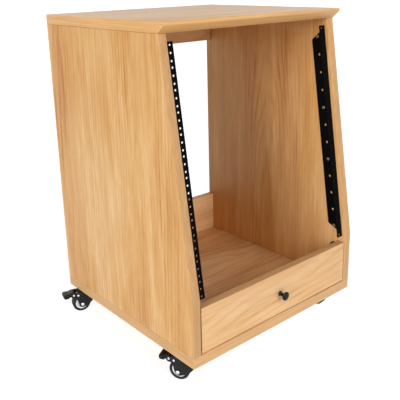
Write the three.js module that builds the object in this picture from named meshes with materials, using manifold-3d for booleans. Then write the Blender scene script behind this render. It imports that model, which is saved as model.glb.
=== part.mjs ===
// Studio rack cabinet, twelve rack units, slanted front, on four swivel casters with brakes.
// Millimetres. +X to the right seen from the front, +Y to the back, +Z up.
// The origin is the centre of the base panel's underside, where the casters are screwed on.
import * as THREE from "three";
import { mergeVertices } from "three/addons/utils/BufferGeometryUtils.js";
import Module from "manifold-3d";

const wasm = await Module();
wasm.setup();

// Rack standard: the hole pattern of one unit, and the spacing of the two hole lines
const rackUnits = 12;
const holeToUnitEdge = 6.35;
const holeStep = 15.875;
const holeLineSpacing = 465.1;
const rackUnit = 2 * (holeToUnitEdge + holeStep);

// Boards
const cabinetDepth = 525;
const sideThickness = 22;
const baseThickness = 25;
const topThickness = 23;
const backThickness = 19;
const flapThickness = 19;
const bendHeight = 131;
const slantDepth = 83;
const arris = 0.8;
const boardJoint = 0.1;

// Top panel's front edge
const noseOverhang = 20.5;
const noseHeight = 6.5;
const noseRadius = 3;
const bevelDepth = 18.5;

// Boards between the sides
const lowerBackHeight = 114;
const upperBackHeight = 77;

// Flap and its pivots
const flapHeight = 110;
const flapEndGap = 2.8;
const flapFootGap = 0.8;
const pivotInset = 6;
const pinRadius = 2.5;
const pinLength = 22;
const boreClearance = 0.2;
const boreEndGap = 1;

// Rack rails
const railThickness = 2;
const frontFlange = 20;
const sideFlange = 41;
const railBendRadius = 2.5;
const railRecess = 8.5;
const railSeatGap = 0.1;
const railFootDrop = 3;
const railHeadRoom = 16;
const freeEdgeWidth = 7.6;
const frontHoleRadius = 3.2;
const sideHoleRadius = 3.3;
const sideHoleLine = 23;
const sideHolePitch = 44;
const sideHoleCount = 12;
const endStrip = 8;
const endStripLength = 10;
const endChamfer = 22;
const screwedHoles = [0, 4, 7, 11];

// Rail screws
const screwHeadRadius = 4.6;
const screwHeadHeight = 2.6;
const screwShankRadius = 2;
const screwLength = 16;
const screwSeatGap = 0.1;
const screwHeadShares = [
  [1, 0],
  [0.9, 0.6],
  [0.5, 1],
];

// Knob and its screw
const knobRadius = 11;
const knobFootRadius = 6;
const knobFootHeight = 2.2;
const knobLength = 22;
const knobShares = [
  [0.33, 0.2],
  [0.33, 0.36],
  [0.48, 0.56],
  [0.92, 0.74],
  [1, 0.81],
  [0.93, 0.9],
  [0.6, 0.98],
];
const knobSeatGap = 0.1;
const knobScrewRadius = 1.8;
const knobScrewDepth = 12;
const knobScrewHeadRadius = 4.5;
const knobScrewHeadHeight = 2.4;

// Catch on the right side panel and its strike plate on the flap
const catchWidth = 13;
const catchDepth = 15;
const catchHeight = 40;
const catchBelowFlapTop = 8;
const catchSeatGap = 0.1;
const strikeThickness = 1.2;
const strikeMargin = 3;
const strikeEdge = 1;
const strikeGap = 0.4;
const catchLipDepth = 3;
const catchLipMargin = 5;

// Casters: places and overall height
const casterInsetSide = 31.5;
const casterInsetEnd = 47.5;
const casterHeight = 63.5;
const casterTrailLength = 26;
const casterTurn = { front_left: 29, front_right: 5, back_left: 75, back_right: -35 };

// Caster plate
const plateSize = 42;
const plateThickness = 2.5;
const plateCorner = 6;
const plateSeatGap = 0.1;
const plateBossRadius = 13;
const plateScrewPitch = 30;
const plateScrewRadius = 3.5;
const plateScrewHeight = 1.3;
const swivelGap = 0.3;

// Fork, bent from sheet
const forkTop = 4.8;
const forkSheet = 2;
const forkInside = 26;
const forkBend = 3.5;
const forkNose = 17;
const forkNoseDepth = 15;
const forkEnd = 10.5;
const forkEndLead = 1.5;
const forkFullnessDepth = 24;
const forkEar = 6.5;
const forkWaist = 6;
const crownReach = 37;

// Kingpin, axle and rivets
const kingpinRadius = 4;
const kingpinHeadRadius = 7;
const kingpinHeadHeight = 2.4;
const pinClearance = 0.3;
const axleRadius = 3;
const axleCapRadius = 4;
const axleCapHeight = 5;
const rivetRadius = 2;
const rivetHeadRadius = 2.9;
const rivetHeadHeight = 1.4;
const brakeRivetReach = 47.5;
const brakeRivetDrop = 10.3;
const spacerRivetReach = 35.5;
const spacerRivetDrop = 13;
const capShares = [
  [1, 0],
  [0.95, 0.5],
  [0.55, 1],
];

// Wheel
const wheelRadius = 24;
const tyreWidth = 20;
const tyreShoulder = 3;
const tyreGap = 0.3;
const hubRadius = 17;
const hubWidth = 17;
const hubDish = 1.6;
const hubRim = 2.4;
const hubBossRadius = 6.5;
const hubBossWidth = 24;

// Brake pedal
const pedalNeckWidth = 24.8;
const pedalPadWidth = 28;
const pedalPadStart = 59;
const pedalReach = 74;
const pedalSheet = 3.4;
const pedalDrop = 10.5;
const pedalCorner = 5;
const pedalEyeRadius = 6.4;
const camDrop = 12.2;
const camRadius = 2.6;

// Facets and the tolerance that joins a mesh's vertices
const weld = 1e-4;
const overrun = 2;
const boreFacets = 6;
const holeFacets = 8;
const pinFacets = 10;
const knobFacets = 16;
const hubFacets = 20;
const tyreFacets = 24;
const arcFacets = 3;

// Places worked out from the sizes above
const holeToPanel = frontFlange - freeEdgeWidth + railSeatGap;
const insideWidth = holeLineSpacing + 2 * holeToPanel;
const cabinetWidth = insideWidth + 2 * sideThickness;
const frontY = -cabinetDepth / 2;
const backY = cabinetDepth / 2;
const floorZ = baseThickness;
const sideFootZ = floorZ + boardJoint;
const bendZ = floorZ + bendHeight;
const railLength = rackUnits * rackUnit;
const slantEdge = railLength - railFootDrop + railHeadRoom;
const slantAngle = Math.asin(slantDepth / slantEdge);
const sideTopZ = bendZ + slantEdge * Math.cos(slantAngle);
const topFootZ = sideTopZ + boardJoint;
const topZ = topFootZ + topThickness;
const slantTopY = frontY + slantDepth;
const flapFootZ = floorZ + flapFootGap;
const flapTopZ = flapFootZ + flapHeight;
const pivotY = frontY + pivotInset;
const pivotZ = flapFootZ + pivotInset;
const casterX = cabinetWidth / 2 - casterInsetSide;
const casterY = cabinetDepth / 2 - casterInsetEnd;
const forkOutside = forkInside + 2 * forkSheet;
const axleZ = wheelRadius - casterHeight;

// Materials
function finish(color, roughness, metalness) {
  return new THREE.MeshStandardMaterial({ color, roughness, metalness });
}
const oak = finish(0xd9ac74, 0.5, 0);
const blackSteel = finish(0x15161a, 0.45, 0.6);
const blackPlastic = finish(0x1b1c20, 0.5, 0);
const tyreRubber = finish(0x0e0e10, 0.6, 0);
const whitePlastic = finish(0xe6e7e9, 0.3, 0.1);
const brightSteel = finish(0xc9ccd0, 0.25, 1);

const cabinet = new THREE.Group();

// Closed mesh to solid and back, for the cuts and joins
function solid(geometry) {
  const bare = geometry.clone();
  bare.deleteAttribute("normal");
  bare.deleteAttribute("uv");
  const merged = mergeVertices(bare, weld);
  return new wasm.Manifold(
    new wasm.Mesh({
      numProp: 3,
      vertProperties: merged.attributes.position.array,
      triVerts: new Uint32Array(merged.index.array),
    }),
  );
}

function geometryOf(body) {
  const mesh = body.getMesh();
  const geometry = new THREE.BufferGeometry();
  geometry.setAttribute("position", new THREE.BufferAttribute(mesh.vertProperties, 3));
  geometry.setIndex(new THREE.BufferAttribute(mesh.triVerts, 1));
  geometry.computeVertexNormals();
  return geometry;
}

function cut(geometry, ...tools) {
  return geometryOf(tools.reduce((body, tool) => body.subtract(solid(tool)), solid(geometry)));
}

function join(geometry, ...others) {
  return geometryOf(others.reduce((body, other) => body.add(solid(other)), solid(geometry)));
}

function common(geometry, ...others) {
  return geometryOf(others.reduce((body, other) => body.intersect(solid(other)), solid(geometry)));
}

function place(parent, name, geometry, material, x = 0, y = 0, z = 0) {
  const mesh = new THREE.Mesh(geometry, material);
  mesh.name = name;
  mesh.position.set(x, y, z);
  parent.add(mesh);
  return mesh;
}

// Outlines drawn with points, and solids swept from them
function outline(points) {
  return new THREE.Shape(points.map(([a, b]) => new THREE.Vector2(a, b)));
}

function sweep(shape, length, ease = 0) {
  const geometry = new THREE.ExtrudeGeometry(shape, {
    depth: length - 2 * ease,
    bevelEnabled: ease > 0,
    bevelThickness: ease,
    bevelSize: ease,
    bevelOffset: -ease,
    bevelSegments: 1,
    curveSegments: arcFacets,
  });
  return geometry.translate(0, 0, ease - length / 2);
}

// A shape drawn in Y and Z becomes a solid centred on X
function sweepAcross(shape, length, ease) {
  const turn = new THREE.Matrix4().makeBasis(
    new THREE.Vector3(0, 1, 0),
    new THREE.Vector3(0, 0, 1),
    new THREE.Vector3(1, 0, 0),
  );
  return sweep(shape, length, ease).applyMatrix4(turn);
}

function rodAlongX(radius, length, facets = pinFacets) {
  return new THREE.CylinderGeometry(radius, radius, length, facets).rotateZ(-Math.PI / 2);
}

// Bores have the flats of their facets on the true circle, so that a round pin clears them
function boreAlongY(radius, length, facets = holeFacets) {
  const corner = radius / Math.cos(Math.PI / facets);
  return new THREE.CylinderGeometry(corner, corner, length, facets);
}

function boreAlongX(radius, length, facets) {
  return boreAlongY(radius, length, facets).rotateZ(-Math.PI / 2);
}

function boreAlongZ(radius, length, facets) {
  return boreAlongY(radius, length, facets).rotateX(Math.PI / 2);
}

// A profile of radius and height, turned round the height axis
function turned(profile, facets) {
  const points = profile.map(([radius, height]) => new THREE.Vector2(radius, height));
  return new THREE.LatheGeometry(points, facets);
}

function roundedRectangle(width, height, radius) {
  const shape = new THREE.Shape();
  const x = width / 2 - radius;
  const y = height / 2 - radius;
  shape.absarc(x, y, radius, 0, Math.PI / 2);
  shape.absarc(-x, y, radius, Math.PI / 2, Math.PI);
  shape.absarc(-x, -y, radius, Math.PI, 1.5 * Math.PI);
  shape.absarc(x, -y, radius, 1.5 * Math.PI, 2 * Math.PI);
  return shape;
}

// Boards of the cabinet
function basePanel() {
  const shape = outline([
    [frontY, 0],
    [backY, 0],
    [backY, baseThickness],
    [frontY, baseThickness],
  ]);
  place(cabinet, "base_panel", sweepAcross(shape, cabinetWidth, arris), oak);
}

// Directions up the slant and back into the cabinet, square to it
const slantUp = new THREE.Vector3(0, Math.sin(slantAngle), Math.cos(slantAngle));
const slantIn = new THREE.Vector3(0, Math.cos(slantAngle), -Math.sin(slantAngle));

// Foot of a rail's bent corner, set back from the panel's slanted edge
function railFoot() {
  const foot = new THREE.Vector3(0, frontY, bendZ);
  return foot.addScaledVector(slantIn, railRecess).addScaledVector(slantUp, -railFootDrop);
}

function sideHoleHeight(index) {
  const first = (railLength - (sideHoleCount - 1) * sideHolePitch) / 2;
  return first + index * sideHolePitch;
}

function screwBore(side, height) {
  const length = 2 * (screwLength - railThickness);
  const at = railFoot().addScaledVector(slantUp, height).addScaledVector(slantIn, sideHoleLine);
  const bore = boreAlongX(screwShankRadius + boreClearance, length, boreFacets);
  return bore.translate((side * insideWidth) / 2, at.y, at.z);
}

function sidePanel(name, side) {
  const shape = outline([
    [frontY, sideFootZ],
    [backY, sideFootZ],
    [backY, sideTopZ],
    [slantTopY, sideTopZ],
    [frontY, bendZ],
  ]);
  const x = side * (insideWidth + sideThickness) / 2;
  const board = sweepAcross(shape, sideThickness, arris).translate(x, 0, 0);
  const pinBore = boreAlongX(pinRadius + boreClearance, pinLength + 2 * boreEndGap);
  pinBore.translate(side * (insideWidth - flapEndGap) / 2, pivotY, pivotZ);
  const bores = screwedHoles.map((hole) => screwBore(side, sideHoleHeight(hole)));
  place(cabinet, name, cut(board, pinBore, ...bores), oak);
}

function topPanel() {
  const noseY = slantTopY - noseOverhang;
  const shape = new THREE.Shape();
  shape.moveTo(backY, topFootZ);
  shape.lineTo(backY, topZ);
  shape.lineTo(noseY + noseRadius, topZ);
  shape.absarc(noseY + noseRadius, topZ - noseRadius, noseRadius, Math.PI / 2, Math.PI);
  shape.lineTo(noseY, topZ - noseHeight);
  shape.lineTo(noseY + bevelDepth, topFootZ);
  place(cabinet, "top_panel", sweepAcross(shape, cabinetWidth, arris), oak);
}

function boardBetweenSides(name, footZ, height) {
  const shape = outline([
    [backY - backThickness, footZ],
    [backY, footZ],
    [backY, footZ + height],
    [backY - backThickness, footZ + height],
  ]);
  place(cabinet, name, sweepAcross(shape, insideWidth - 2 * boardJoint, arris), oak);
}

// Flap with its knob, knob screw and strike plate, and the pins it turns on
function flap() {
  const rearY = frontY + flapThickness;
  const shape = new THREE.Shape();
  shape.moveTo(rearY, flapFootZ);
  shape.lineTo(rearY, flapTopZ);
  shape.lineTo(frontY, flapTopZ);
  shape.absarc(pivotY, pivotZ, pivotInset, Math.PI, 1.5 * Math.PI);
  const width = insideWidth - 2 * flapEndGap;
  const board = sweepAcross(shape, width, arris);
  const bores = [-1, 1].map((side) =>
    boreAlongX(pinRadius + boreClearance, pinLength + 2 * boreEndGap).translate(
      side * (insideWidth - flapEndGap) / 2,
      pivotY,
      pivotZ,
    ),
  );
  const knobZ = (flapFootZ + flapTopZ) / 2;
  const screwBoreLength = flapThickness + 2 * overrun;
  const knobBore = boreAlongY(knobScrewRadius + boreClearance, screwBoreLength).translate(
    0,
    frontY + flapThickness / 2,
    knobZ,
  );
  place(cabinet, "front_flap", cut(board, ...bores, knobBore), oak);
  knob(knobZ);
  knobScrew(knobZ);
  strikePlate(width);
}

// Points of a rounded head or cap, as shares of its radius and height above its seat
function crown(shares, radius, height, seat) {
  return shares.map(([across, up]) => [radius * across, seat + height * up]);
}

function knob(knobZ) {
  const boreRadius = knobScrewRadius + boreClearance;
  const profile = [
    [0, knobScrewDepth],
    [boreRadius, knobScrewDepth],
    [boreRadius, 0],
    [knobFootRadius, 0],
    [knobFootRadius, knobFootHeight],
    ...crown(knobShares, knobRadius, knobLength, 0),
    [0, knobLength],
  ];
  const body = turned(profile, knobFacets).rotateX(Math.PI);
  place(cabinet, "flap_knob", body, blackPlastic, 0, frontY - knobSeatGap, knobZ);
}

function knobScrew(knobZ) {
  const shank = flapThickness + knobSeatGap + knobScrewDepth - boreEndGap;
  const profile = [
    [0, -shank],
    [knobScrewRadius, -shank],
    [knobScrewRadius, 0],
    ...crown(screwHeadShares, knobScrewHeadRadius, knobScrewHeadHeight, 0),
    [0, knobScrewHeadHeight],
  ];
  const rearY = frontY + flapThickness + screwSeatGap;
  place(cabinet, "knob_screw", turned(profile, pinFacets), brightSteel, 0, rearY, knobZ);
}

// Height of the middle of the catch and of the strike plate that meets it
const catchZ = flapTopZ - catchBelowFlapTop - catchHeight / 2;

function strikePlate(flapWidth) {
  const width = catchWidth - 2 * strikeEdge;
  const height = catchHeight - 2 * strikeMargin;
  const plate = sweep(roundedRectangle(width, height, strikeMargin), strikeThickness);
  plate.rotateX(Math.PI / 2);
  const x = flapWidth / 2 - strikeEdge - width / 2;
  const y = frontY + flapThickness + screwSeatGap + strikeThickness / 2;
  place(cabinet, "flap_strike_plate", plate, brightSteel, x, y, catchZ);
}

function flapCatch() {
  const face = frontY + flapThickness + screwSeatGap + strikeThickness + strikeGap;
  const shape = outline([
    [face, catchLipMargin - catchHeight],
    [face + catchDepth, 2 * catchLipMargin - catchHeight],
    [face + catchDepth, 0],
    [face, 0],
  ]);
  const housing = sweepAcross(shape, catchWidth, arris).translate(0, 0, catchHeight / 2);
  const slot = new THREE.BoxGeometry(
    catchWidth - catchLipMargin,
    2 * catchLipDepth,
    catchHeight - 4 * catchLipMargin,
  ).translate(0, face, 0);
  const x = insideWidth / 2 - catchSeatGap - catchWidth / 2;
  place(cabinet, "flap_catch", cut(housing, slot), blackPlastic, x, 0, catchZ);
}

function pivotPin(name, side) {
  const x = side * (insideWidth - flapEndGap) / 2;
  place(cabinet, name, rodAlongX(pinRadius, pinLength), brightSteel, x, pivotY, pivotZ);
}

// Rack rails: a bent angle, drawn with its corner on the local origin and standing on local Z
function railSection(side) {
  const shape = new THREE.Shape();
  const inner = railBendRadius - railThickness;
  shape.moveTo(-side * frontFlange, 0);
  shape.lineTo(-side * railBendRadius, 0);
  arcBend(shape, side, railBendRadius);
  shape.lineTo(0, sideFlange);
  shape.lineTo(-side * railThickness, sideFlange);
  shape.lineTo(-side * railThickness, railThickness + inner);
  arcBend(shape, side, inner, true);
  shape.lineTo(-side * frontFlange, railThickness);
  return shape;
}

// Quarter bend between the two flanges, walked outwards or back
function arcBend(shape, side, radius, back = false) {
  const centre = [-side * railBendRadius, railBendRadius];
  for (let step = 0; step <= arcFacets; step++) {
    const share = back ? 1 - step / arcFacets : step / arcFacets;
    const angle = share * Math.PI / 2;
    shape.lineTo(centre[0] + side * radius * Math.sin(angle), centre[1] - radius * Math.cos(angle));
  }
}

// What stays of the rail seen from the side: narrow strips at both ends, joined by angled cuts
function railSideOutline() {
  const full = endStripLength + endChamfer;
  return outline([
    [-overrun, 0],
    [endStrip, 0],
    [endStrip, endStripLength],
    [sideFlange + overrun, full],
    [sideFlange + overrun, railLength - full],
    [endStrip, railLength - endStripLength],
    [endStrip, railLength],
    [-overrun, railLength],
  ]);
}

function railHoles(side) {
  const tools = [];
  for (let unit = 0; unit < rackUnits; unit++) {
    for (const offset of [-holeStep, 0, holeStep]) {
      const hole = boreAlongY(frontHoleRadius, 2 * overrun + railThickness);
      const x = side * (freeEdgeWidth - frontFlange);
      tools.push(hole.translate(x, railThickness / 2, rackUnit * (unit + 1 / 2) + offset));
    }
  }
  for (let index = 0; index < sideHoleCount; index++) {
    const hole = boreAlongX(sideHoleRadius, 2 * overrun + railThickness, boreFacets);
    tools.push(hole.translate((-side * railThickness) / 2, sideHoleLine, sideHoleHeight(index)));
  }
  return tools;
}

function rackRail(name, side) {
  const bar = sweep(railSection(side), railLength).translate(0, 0, railLength / 2);
  const trimmed = common(bar, sweepAcross(railSideOutline(), 2 * (frontFlange + overrun)));
  const frame = new THREE.Group();
  const foot = railFoot();
  frame.position.set(side * (insideWidth / 2 - railSeatGap), foot.y, foot.z);
  frame.rotation.x = -slantAngle;
  cabinet.add(frame);
  place(frame, name, cut(trimmed, ...railHoles(side)), blackSteel);
  screwedHoles.forEach((hole, index) => {
    railScrew(frame, name + "_screw_" + (index + 1), side, sideHoleHeight(hole));
  });
}

function railScrew(frame, name, side, height) {
  const profile = [
    [0, -screwLength],
    [screwShankRadius, screwShankRadius - screwLength],
    [screwShankRadius, 0],
    ...crown(screwHeadShares, screwHeadRadius, screwHeadHeight, 0),
    [0, screwHeadHeight],
  ];
  const screw = turned(profile, holeFacets).rotateZ((side * Math.PI) / 2);
  place(frame, name, screw, brightSteel, -side * (railThickness + screwSeatGap), sideHoleLine, height);
}

// One caster in its own frame: kingpin on local Z, the wheel trails along local Y
function casterPlate(root, name) {
  const plate = sweep(roundedRectangle(plateSize, plateSize, plateCorner), plateThickness);
  plate.translate(0, 0, -plateThickness / 2 - plateSeatGap);
  const bossHeight = forkTop - swivelGap - plateSeatGap;
  const boss = new THREE.CylinderGeometry(plateBossRadius, plateBossRadius, bossHeight, 2 * holeFacets);
  boss.rotateX(Math.PI / 2).translate(0, 0, -bossHeight / 2 - plateSeatGap);
  const heads = [];
  for (const x of [-1, 1]) {
    for (const y of [-1, 1]) {
      const head = new THREE.CylinderGeometry(
        plateScrewRadius,
        plateScrewRadius / 2,
        plateThickness + plateScrewHeight,
        boreFacets,
      );
      head.rotateX(Math.PI / 2);
      const z = -(plateThickness + plateScrewHeight) / 2 - plateSeatGap;
      heads.push(head.translate((x * plateScrewPitch) / 2, (y * plateScrewPitch) / 2, z));
    }
  }
  const hole = boreAlongZ(kingpinRadius + pinClearance, 2 * casterHeight);
  place(root, name + "_plate", cut(join(plate, boss, ...heads), hole), blackSteel);
}

function kingpin(root, name) {
  const crownFoot = forkTop + forkSheet + swivelGap;
  const profile = [
    [0, -crownFoot - kingpinHeadHeight],
    [kingpinHeadRadius / 2, -crownFoot - kingpinHeadHeight],
    [kingpinHeadRadius, -crownFoot - kingpinHeadHeight / 2],
    [kingpinHeadRadius, -crownFoot],
    [kingpinRadius, -crownFoot],
    [kingpinRadius, -plateSeatGap],
    [0, -plateSeatGap],
  ];
  place(root, name + "_kingpin", turned(profile, holeFacets).rotateX(Math.PI / 2), brightSteel);
}

// Side outline of the fork's two cheeks: nose, full front edge, round axle end, waist and ears
function cheekOutline() {
  const shape = new THREE.Shape();
  const endReach = casterTrailLength - forkEndLead;
  const waistReach = endReach + forkEnd - forkEndLead;
  const earFoot = -brakeRivetDrop - forkEar;
  const frontTurn = (4 / 3) * Math.PI;
  const endFrontY = endReach + forkEnd * Math.cos(frontTurn);
  const endFrontZ = axleZ + forkEnd * Math.sin(frontTurn);
  shape.moveTo(-forkNose, -forkTop);
  shape.lineTo(-forkNose, -forkTop - forkNoseDepth);
  shape.quadraticCurveTo(casterTrailLength - forkFullnessDepth, axleZ - forkEnd / 2, endFrontY, endFrontZ);
  shape.absarc(endReach, axleZ, forkEnd, frontTurn, 2 * Math.PI);
  shape.lineTo(waistReach, earFoot - forkWaist);
  shape.quadraticCurveTo(waistReach, earFoot, brakeRivetReach, earFoot);
  shape.absarc(brakeRivetReach, -brakeRivetDrop, forkEar, 1.5 * Math.PI, 2 * Math.PI);
  shape.lineTo(brakeRivetReach + forkEar, -forkTop - forkSheet);
  shape.lineTo(brakeRivetReach + forkEar - forkSheet, -forkTop);
  return shape;
}

// Section of the bent sheet: a crown and two cheeks with round outer corners
function forkSection() {
  const half = forkOutside / 2;
  const bottom = axleZ - forkEnd - overrun;
  const shape = new THREE.Shape();
  shape.moveTo(-half, bottom);
  shape.lineTo(-half + forkSheet, bottom);
  shape.lineTo(-half + forkSheet, -forkTop - forkBend);
  shape.absarc(forkBend - half, -forkTop - forkBend, forkBend - forkSheet, Math.PI, Math.PI / 2, true);
  shape.absarc(half - forkBend, -forkTop - forkBend, forkBend - forkSheet, Math.PI / 2, 0, true);
  shape.lineTo(half - forkSheet, bottom);
  shape.lineTo(half, bottom);
  shape.absarc(half - forkBend, -forkTop - forkBend, forkBend, 0, Math.PI / 2);
  shape.absarc(forkBend - half, -forkTop - forkBend, forkBend, Math.PI / 2, Math.PI);
  return shape;
}

function fork(swivel, name) {
  const tail = brakeRivetReach + forkEar + overrun;
  const bent = sweep(forkSection(), 2 * tail).rotateX(Math.PI / 2);
  const cheeks = sweepAcross(cheekOutline(), forkOutside + 2 * overrun);
  const plan = new THREE.Shape();
  plan.absarc(0, 0, forkNose, Math.PI, 2 * Math.PI);
  plan.lineTo(forkNose, tail);
  plan.lineTo(-forkNose, tail);
  const slotDepth = 2 * (forkTop + forkSheet + forkBend);
  const slot = new THREE.BoxGeometry(forkInside, tail, slotDepth);
  const crossBores = [
    [axleRadius, casterTrailLength, axleZ],
    [rivetRadius, brakeRivetReach, -brakeRivetDrop],
    [rivetRadius, spacerRivetReach, -spacerRivetDrop],
  ].map(([radius, y, z]) => boreAlongX(radius + pinClearance, 2 * forkOutside).translate(0, y, z));
  const body = cut(
    common(bent, cheeks, sweep(plan, 2 * casterHeight)),
    slot.translate(0, crownReach + tail / 2, 0),
    boreAlongZ(kingpinRadius + pinClearance, 2 * casterHeight),
    ...crossBores,
  );
  place(swivel, name + "_fork", body, blackSteel);
}

// A round bar with a domed cap outside each cheek
function capped(radius, capRadius, capHeight, facets) {
  const seat = forkOutside / 2 + swivelGap;
  const cap = crown(capShares, capRadius, capHeight, seat);
  const profile = [
    [0, -seat - capHeight],
    ...cap.map(([across, up]) => [across, -up]).reverse(),
    [radius, -seat],
    [radius, seat],
    ...cap,
    [0, seat + capHeight],
  ];
  return turned(profile, facets).rotateZ(-Math.PI / 2);
}

function forkPins(swivel, name) {
  const axle = capped(axleRadius, axleCapRadius, axleCapHeight, pinFacets);
  const rivet = capped(rivetRadius, rivetHeadRadius, rivetHeadHeight, boreFacets);
  place(swivel, name + "_axle", axle, brightSteel, 0, casterTrailLength, axleZ);
  place(swivel, name + "_brake_rivet", rivet, brightSteel, 0, brakeRivetReach, -brakeRivetDrop);
  place(swivel, name + "_spacer_rivet", rivet.clone(), brightSteel, 0, spacerRivetReach, -spacerRivetDrop);
}

function wheel(swivel, name) {
  const half = tyreWidth / 2;
  const bore = hubRadius + tyreGap;
  const shoulder = tyreShoulder * (1 - Math.SQRT1_2);
  const tyreProfile = [
    [bore, -half],
    [wheelRadius - tyreShoulder, -half],
    [wheelRadius - shoulder, shoulder - half],
    [wheelRadius, tyreShoulder - half],
    [wheelRadius, half - tyreShoulder],
    [wheelRadius - shoulder, half - shoulder],
    [wheelRadius - tyreShoulder, half],
    [bore, half],
    [bore, -half],
  ];
  const tyre = turned(tyreProfile, tyreFacets).rotateZ(-Math.PI / 2);
  place(swivel, name + "_tyre", tyre, tyreRubber, 0, casterTrailLength, axleZ);
  const hubHalf = hubWidth / 2;
  const bossHalf = hubBossWidth / 2;
  const hubBore = axleRadius + pinClearance;
  const hubProfile = [
    [hubBore, -bossHalf],
    [hubBossRadius, -bossHalf],
    [hubBossRadius, hubDish - hubHalf],
    [hubRadius - hubRim, hubDish - hubHalf],
    [hubRadius - hubRim / 2, -hubHalf],
    [hubRadius, -hubHalf],
    [hubRadius, hubHalf],
    [hubRadius - hubRim / 2, hubHalf],
    [hubRadius - hubRim, hubHalf - hubDish],
    [hubBossRadius, hubHalf - hubDish],
    [hubBossRadius, bossHalf],
    [hubBore, bossHalf],
    [hubBore, -bossHalf],
  ];
  const hub = turned(hubProfile, hubFacets).rotateZ(-Math.PI / 2);
  place(swivel, name + "_hub", hub, whitePlastic, 0, casterTrailLength, axleZ);
}

// Pedal: an eye on the brake rivet, a cam below it, and an arm that runs back to a wide pad
function pedal(swivel, name) {
  const eyeZ = -brakeRivetDrop;
  const shape = new THREE.Shape();
  const edge = pedalSheet / 2;
  shape.moveTo(pedalPadStart, -pedalDrop);
  shape.absarc(pedalReach - edge, edge - pedalDrop, edge, -Math.PI / 2, Math.PI / 2);
  shape.lineTo(pedalPadStart, pedalSheet - pedalDrop);
  shape.absarc(brakeRivetReach, eyeZ, pedalEyeRadius, Math.PI / 2, 1.5 * Math.PI);
  const arm = common(sweepAcross(shape, pedalPadWidth), pedalPlan());
  const camEnd = eyeZ - camDrop + camRadius;
  const camShape = new THREE.Shape();
  camShape.moveTo(brakeRivetReach - pedalEyeRadius / 2, eyeZ);
  camShape.absarc(brakeRivetReach, camEnd, camRadius, Math.PI, 2 * Math.PI);
  camShape.lineTo(brakeRivetReach + pedalEyeRadius / 2, eyeZ);
  const cam = sweepAcross(camShape, tyreWidth - 2 * tyreShoulder);
  const bore = boreAlongX(rivetRadius + pinClearance, 2 * forkOutside).translate(0, brakeRivetReach, eyeZ);
  place(swivel, name + "_brake_pedal", cut(join(arm, cam), bore), blackPlastic);
}

// Pedal seen from above: a narrow neck between the fork's ears and a wide pad with round corners
function pedalPlan() {
  const neck = pedalNeckWidth / 2;
  const pad = pedalPadWidth / 2;
  const front = brakeRivetReach - pedalEyeRadius - overrun;
  const cornerY = pedalReach - pedalCorner;
  const shape = new THREE.Shape();
  shape.moveTo(-neck, front);
  shape.lineTo(neck, front);
  shape.lineTo(neck, pedalPadStart);
  shape.lineTo(pad, pedalPadStart + pad - neck);
  shape.absarc(pad - pedalCorner, cornerY, pedalCorner, 0, Math.PI / 2);
  shape.absarc(pedalCorner - pad, cornerY, pedalCorner, Math.PI / 2, Math.PI);
  shape.lineTo(-pad, pedalPadStart + pad - neck);
  shape.lineTo(-neck, pedalPadStart);
  return sweep(shape, 2 * casterHeight);
}

function caster(corner, turn) {
  const name = corner + "_caster";
  const root = new THREE.Group();
  const right = corner.endsWith("right") ? 1 : -1;
  const back = corner.startsWith("back") ? 1 : -1;
  root.position.set(right * casterX, back * casterY, 0);
  cabinet.add(root);
  casterPlate(root, name);
  kingpin(root, name);
  const swivel = new THREE.Group();
  swivel.rotation.z = THREE.MathUtils.degToRad(turn);
  root.add(swivel);
  fork(swivel, name);
  forkPins(swivel, name);
  wheel(swivel, name);
  pedal(swivel, name);
}

basePanel();
sidePanel("left_side_panel", -1);
sidePanel("right_side_panel", 1);
topPanel();
boardBetweenSides("lower_back_board", sideFootZ, lowerBackHeight);
boardBetweenSides("upper_back_rail", sideTopZ - upperBackHeight, upperBackHeight);
flap();
flapCatch();
pivotPin("left_pivot_pin", -1);
pivotPin("right_pivot_pin", 1);
rackRail("left_rack_rail", -1);
rackRail("right_rack_rail", 1);
for (const [corner, turn] of Object.entries(casterTurn)) {
  caster(corner, turn);
}

export default cabinet;
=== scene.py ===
import math

import bmesh
import bpy
from mathutils import Matrix, Vector


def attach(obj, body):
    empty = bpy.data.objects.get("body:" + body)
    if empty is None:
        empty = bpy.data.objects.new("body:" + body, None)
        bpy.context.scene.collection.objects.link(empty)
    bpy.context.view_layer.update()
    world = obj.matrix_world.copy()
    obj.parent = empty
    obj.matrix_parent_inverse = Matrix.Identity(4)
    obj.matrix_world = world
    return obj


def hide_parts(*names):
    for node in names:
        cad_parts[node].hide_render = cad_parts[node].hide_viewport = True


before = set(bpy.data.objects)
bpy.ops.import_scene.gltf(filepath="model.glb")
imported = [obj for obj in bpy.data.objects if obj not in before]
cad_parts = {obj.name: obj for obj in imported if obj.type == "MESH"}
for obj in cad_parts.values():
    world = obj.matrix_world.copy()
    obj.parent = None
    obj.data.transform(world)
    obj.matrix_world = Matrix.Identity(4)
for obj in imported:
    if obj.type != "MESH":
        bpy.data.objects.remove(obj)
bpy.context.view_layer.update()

# Shapes are drawn in millimetres, and become metres where their points are made
MM = 0.001
ARC_STEPS = 8
# Facets round the turned pieces
LATHE_STEPS, WHEEL_STEPS, PIN_STEPS, RIVET_STEPS, BORE_STEPS, HOLE_STEPS = 72, 96, 48, 40, 32, 28
# Gap between a piece and the one that it is fixed to, as in the solids
SEAT_GAP = 0.1
# How far a cutter reaches past the piece that it cuts
PAST = 20


# --- Camera and stage -------------------------------------------------------------------------
CAMERA_PLACE = (-0.9750, -1.1302, 0.7977)
CAMERA_YAW, CAMERA_PITCH, CAMERA_ROLL = -0.7047, -0.2897, 0.0228

FLOOR_Z = -63.5
FLOOR_REACH = 80
FLOOR_CLOUD_SCALE = 0.6
FLOOR_STOPS = [(0, (170, 173, 177)), (1, (178, 181, 185))]
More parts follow.
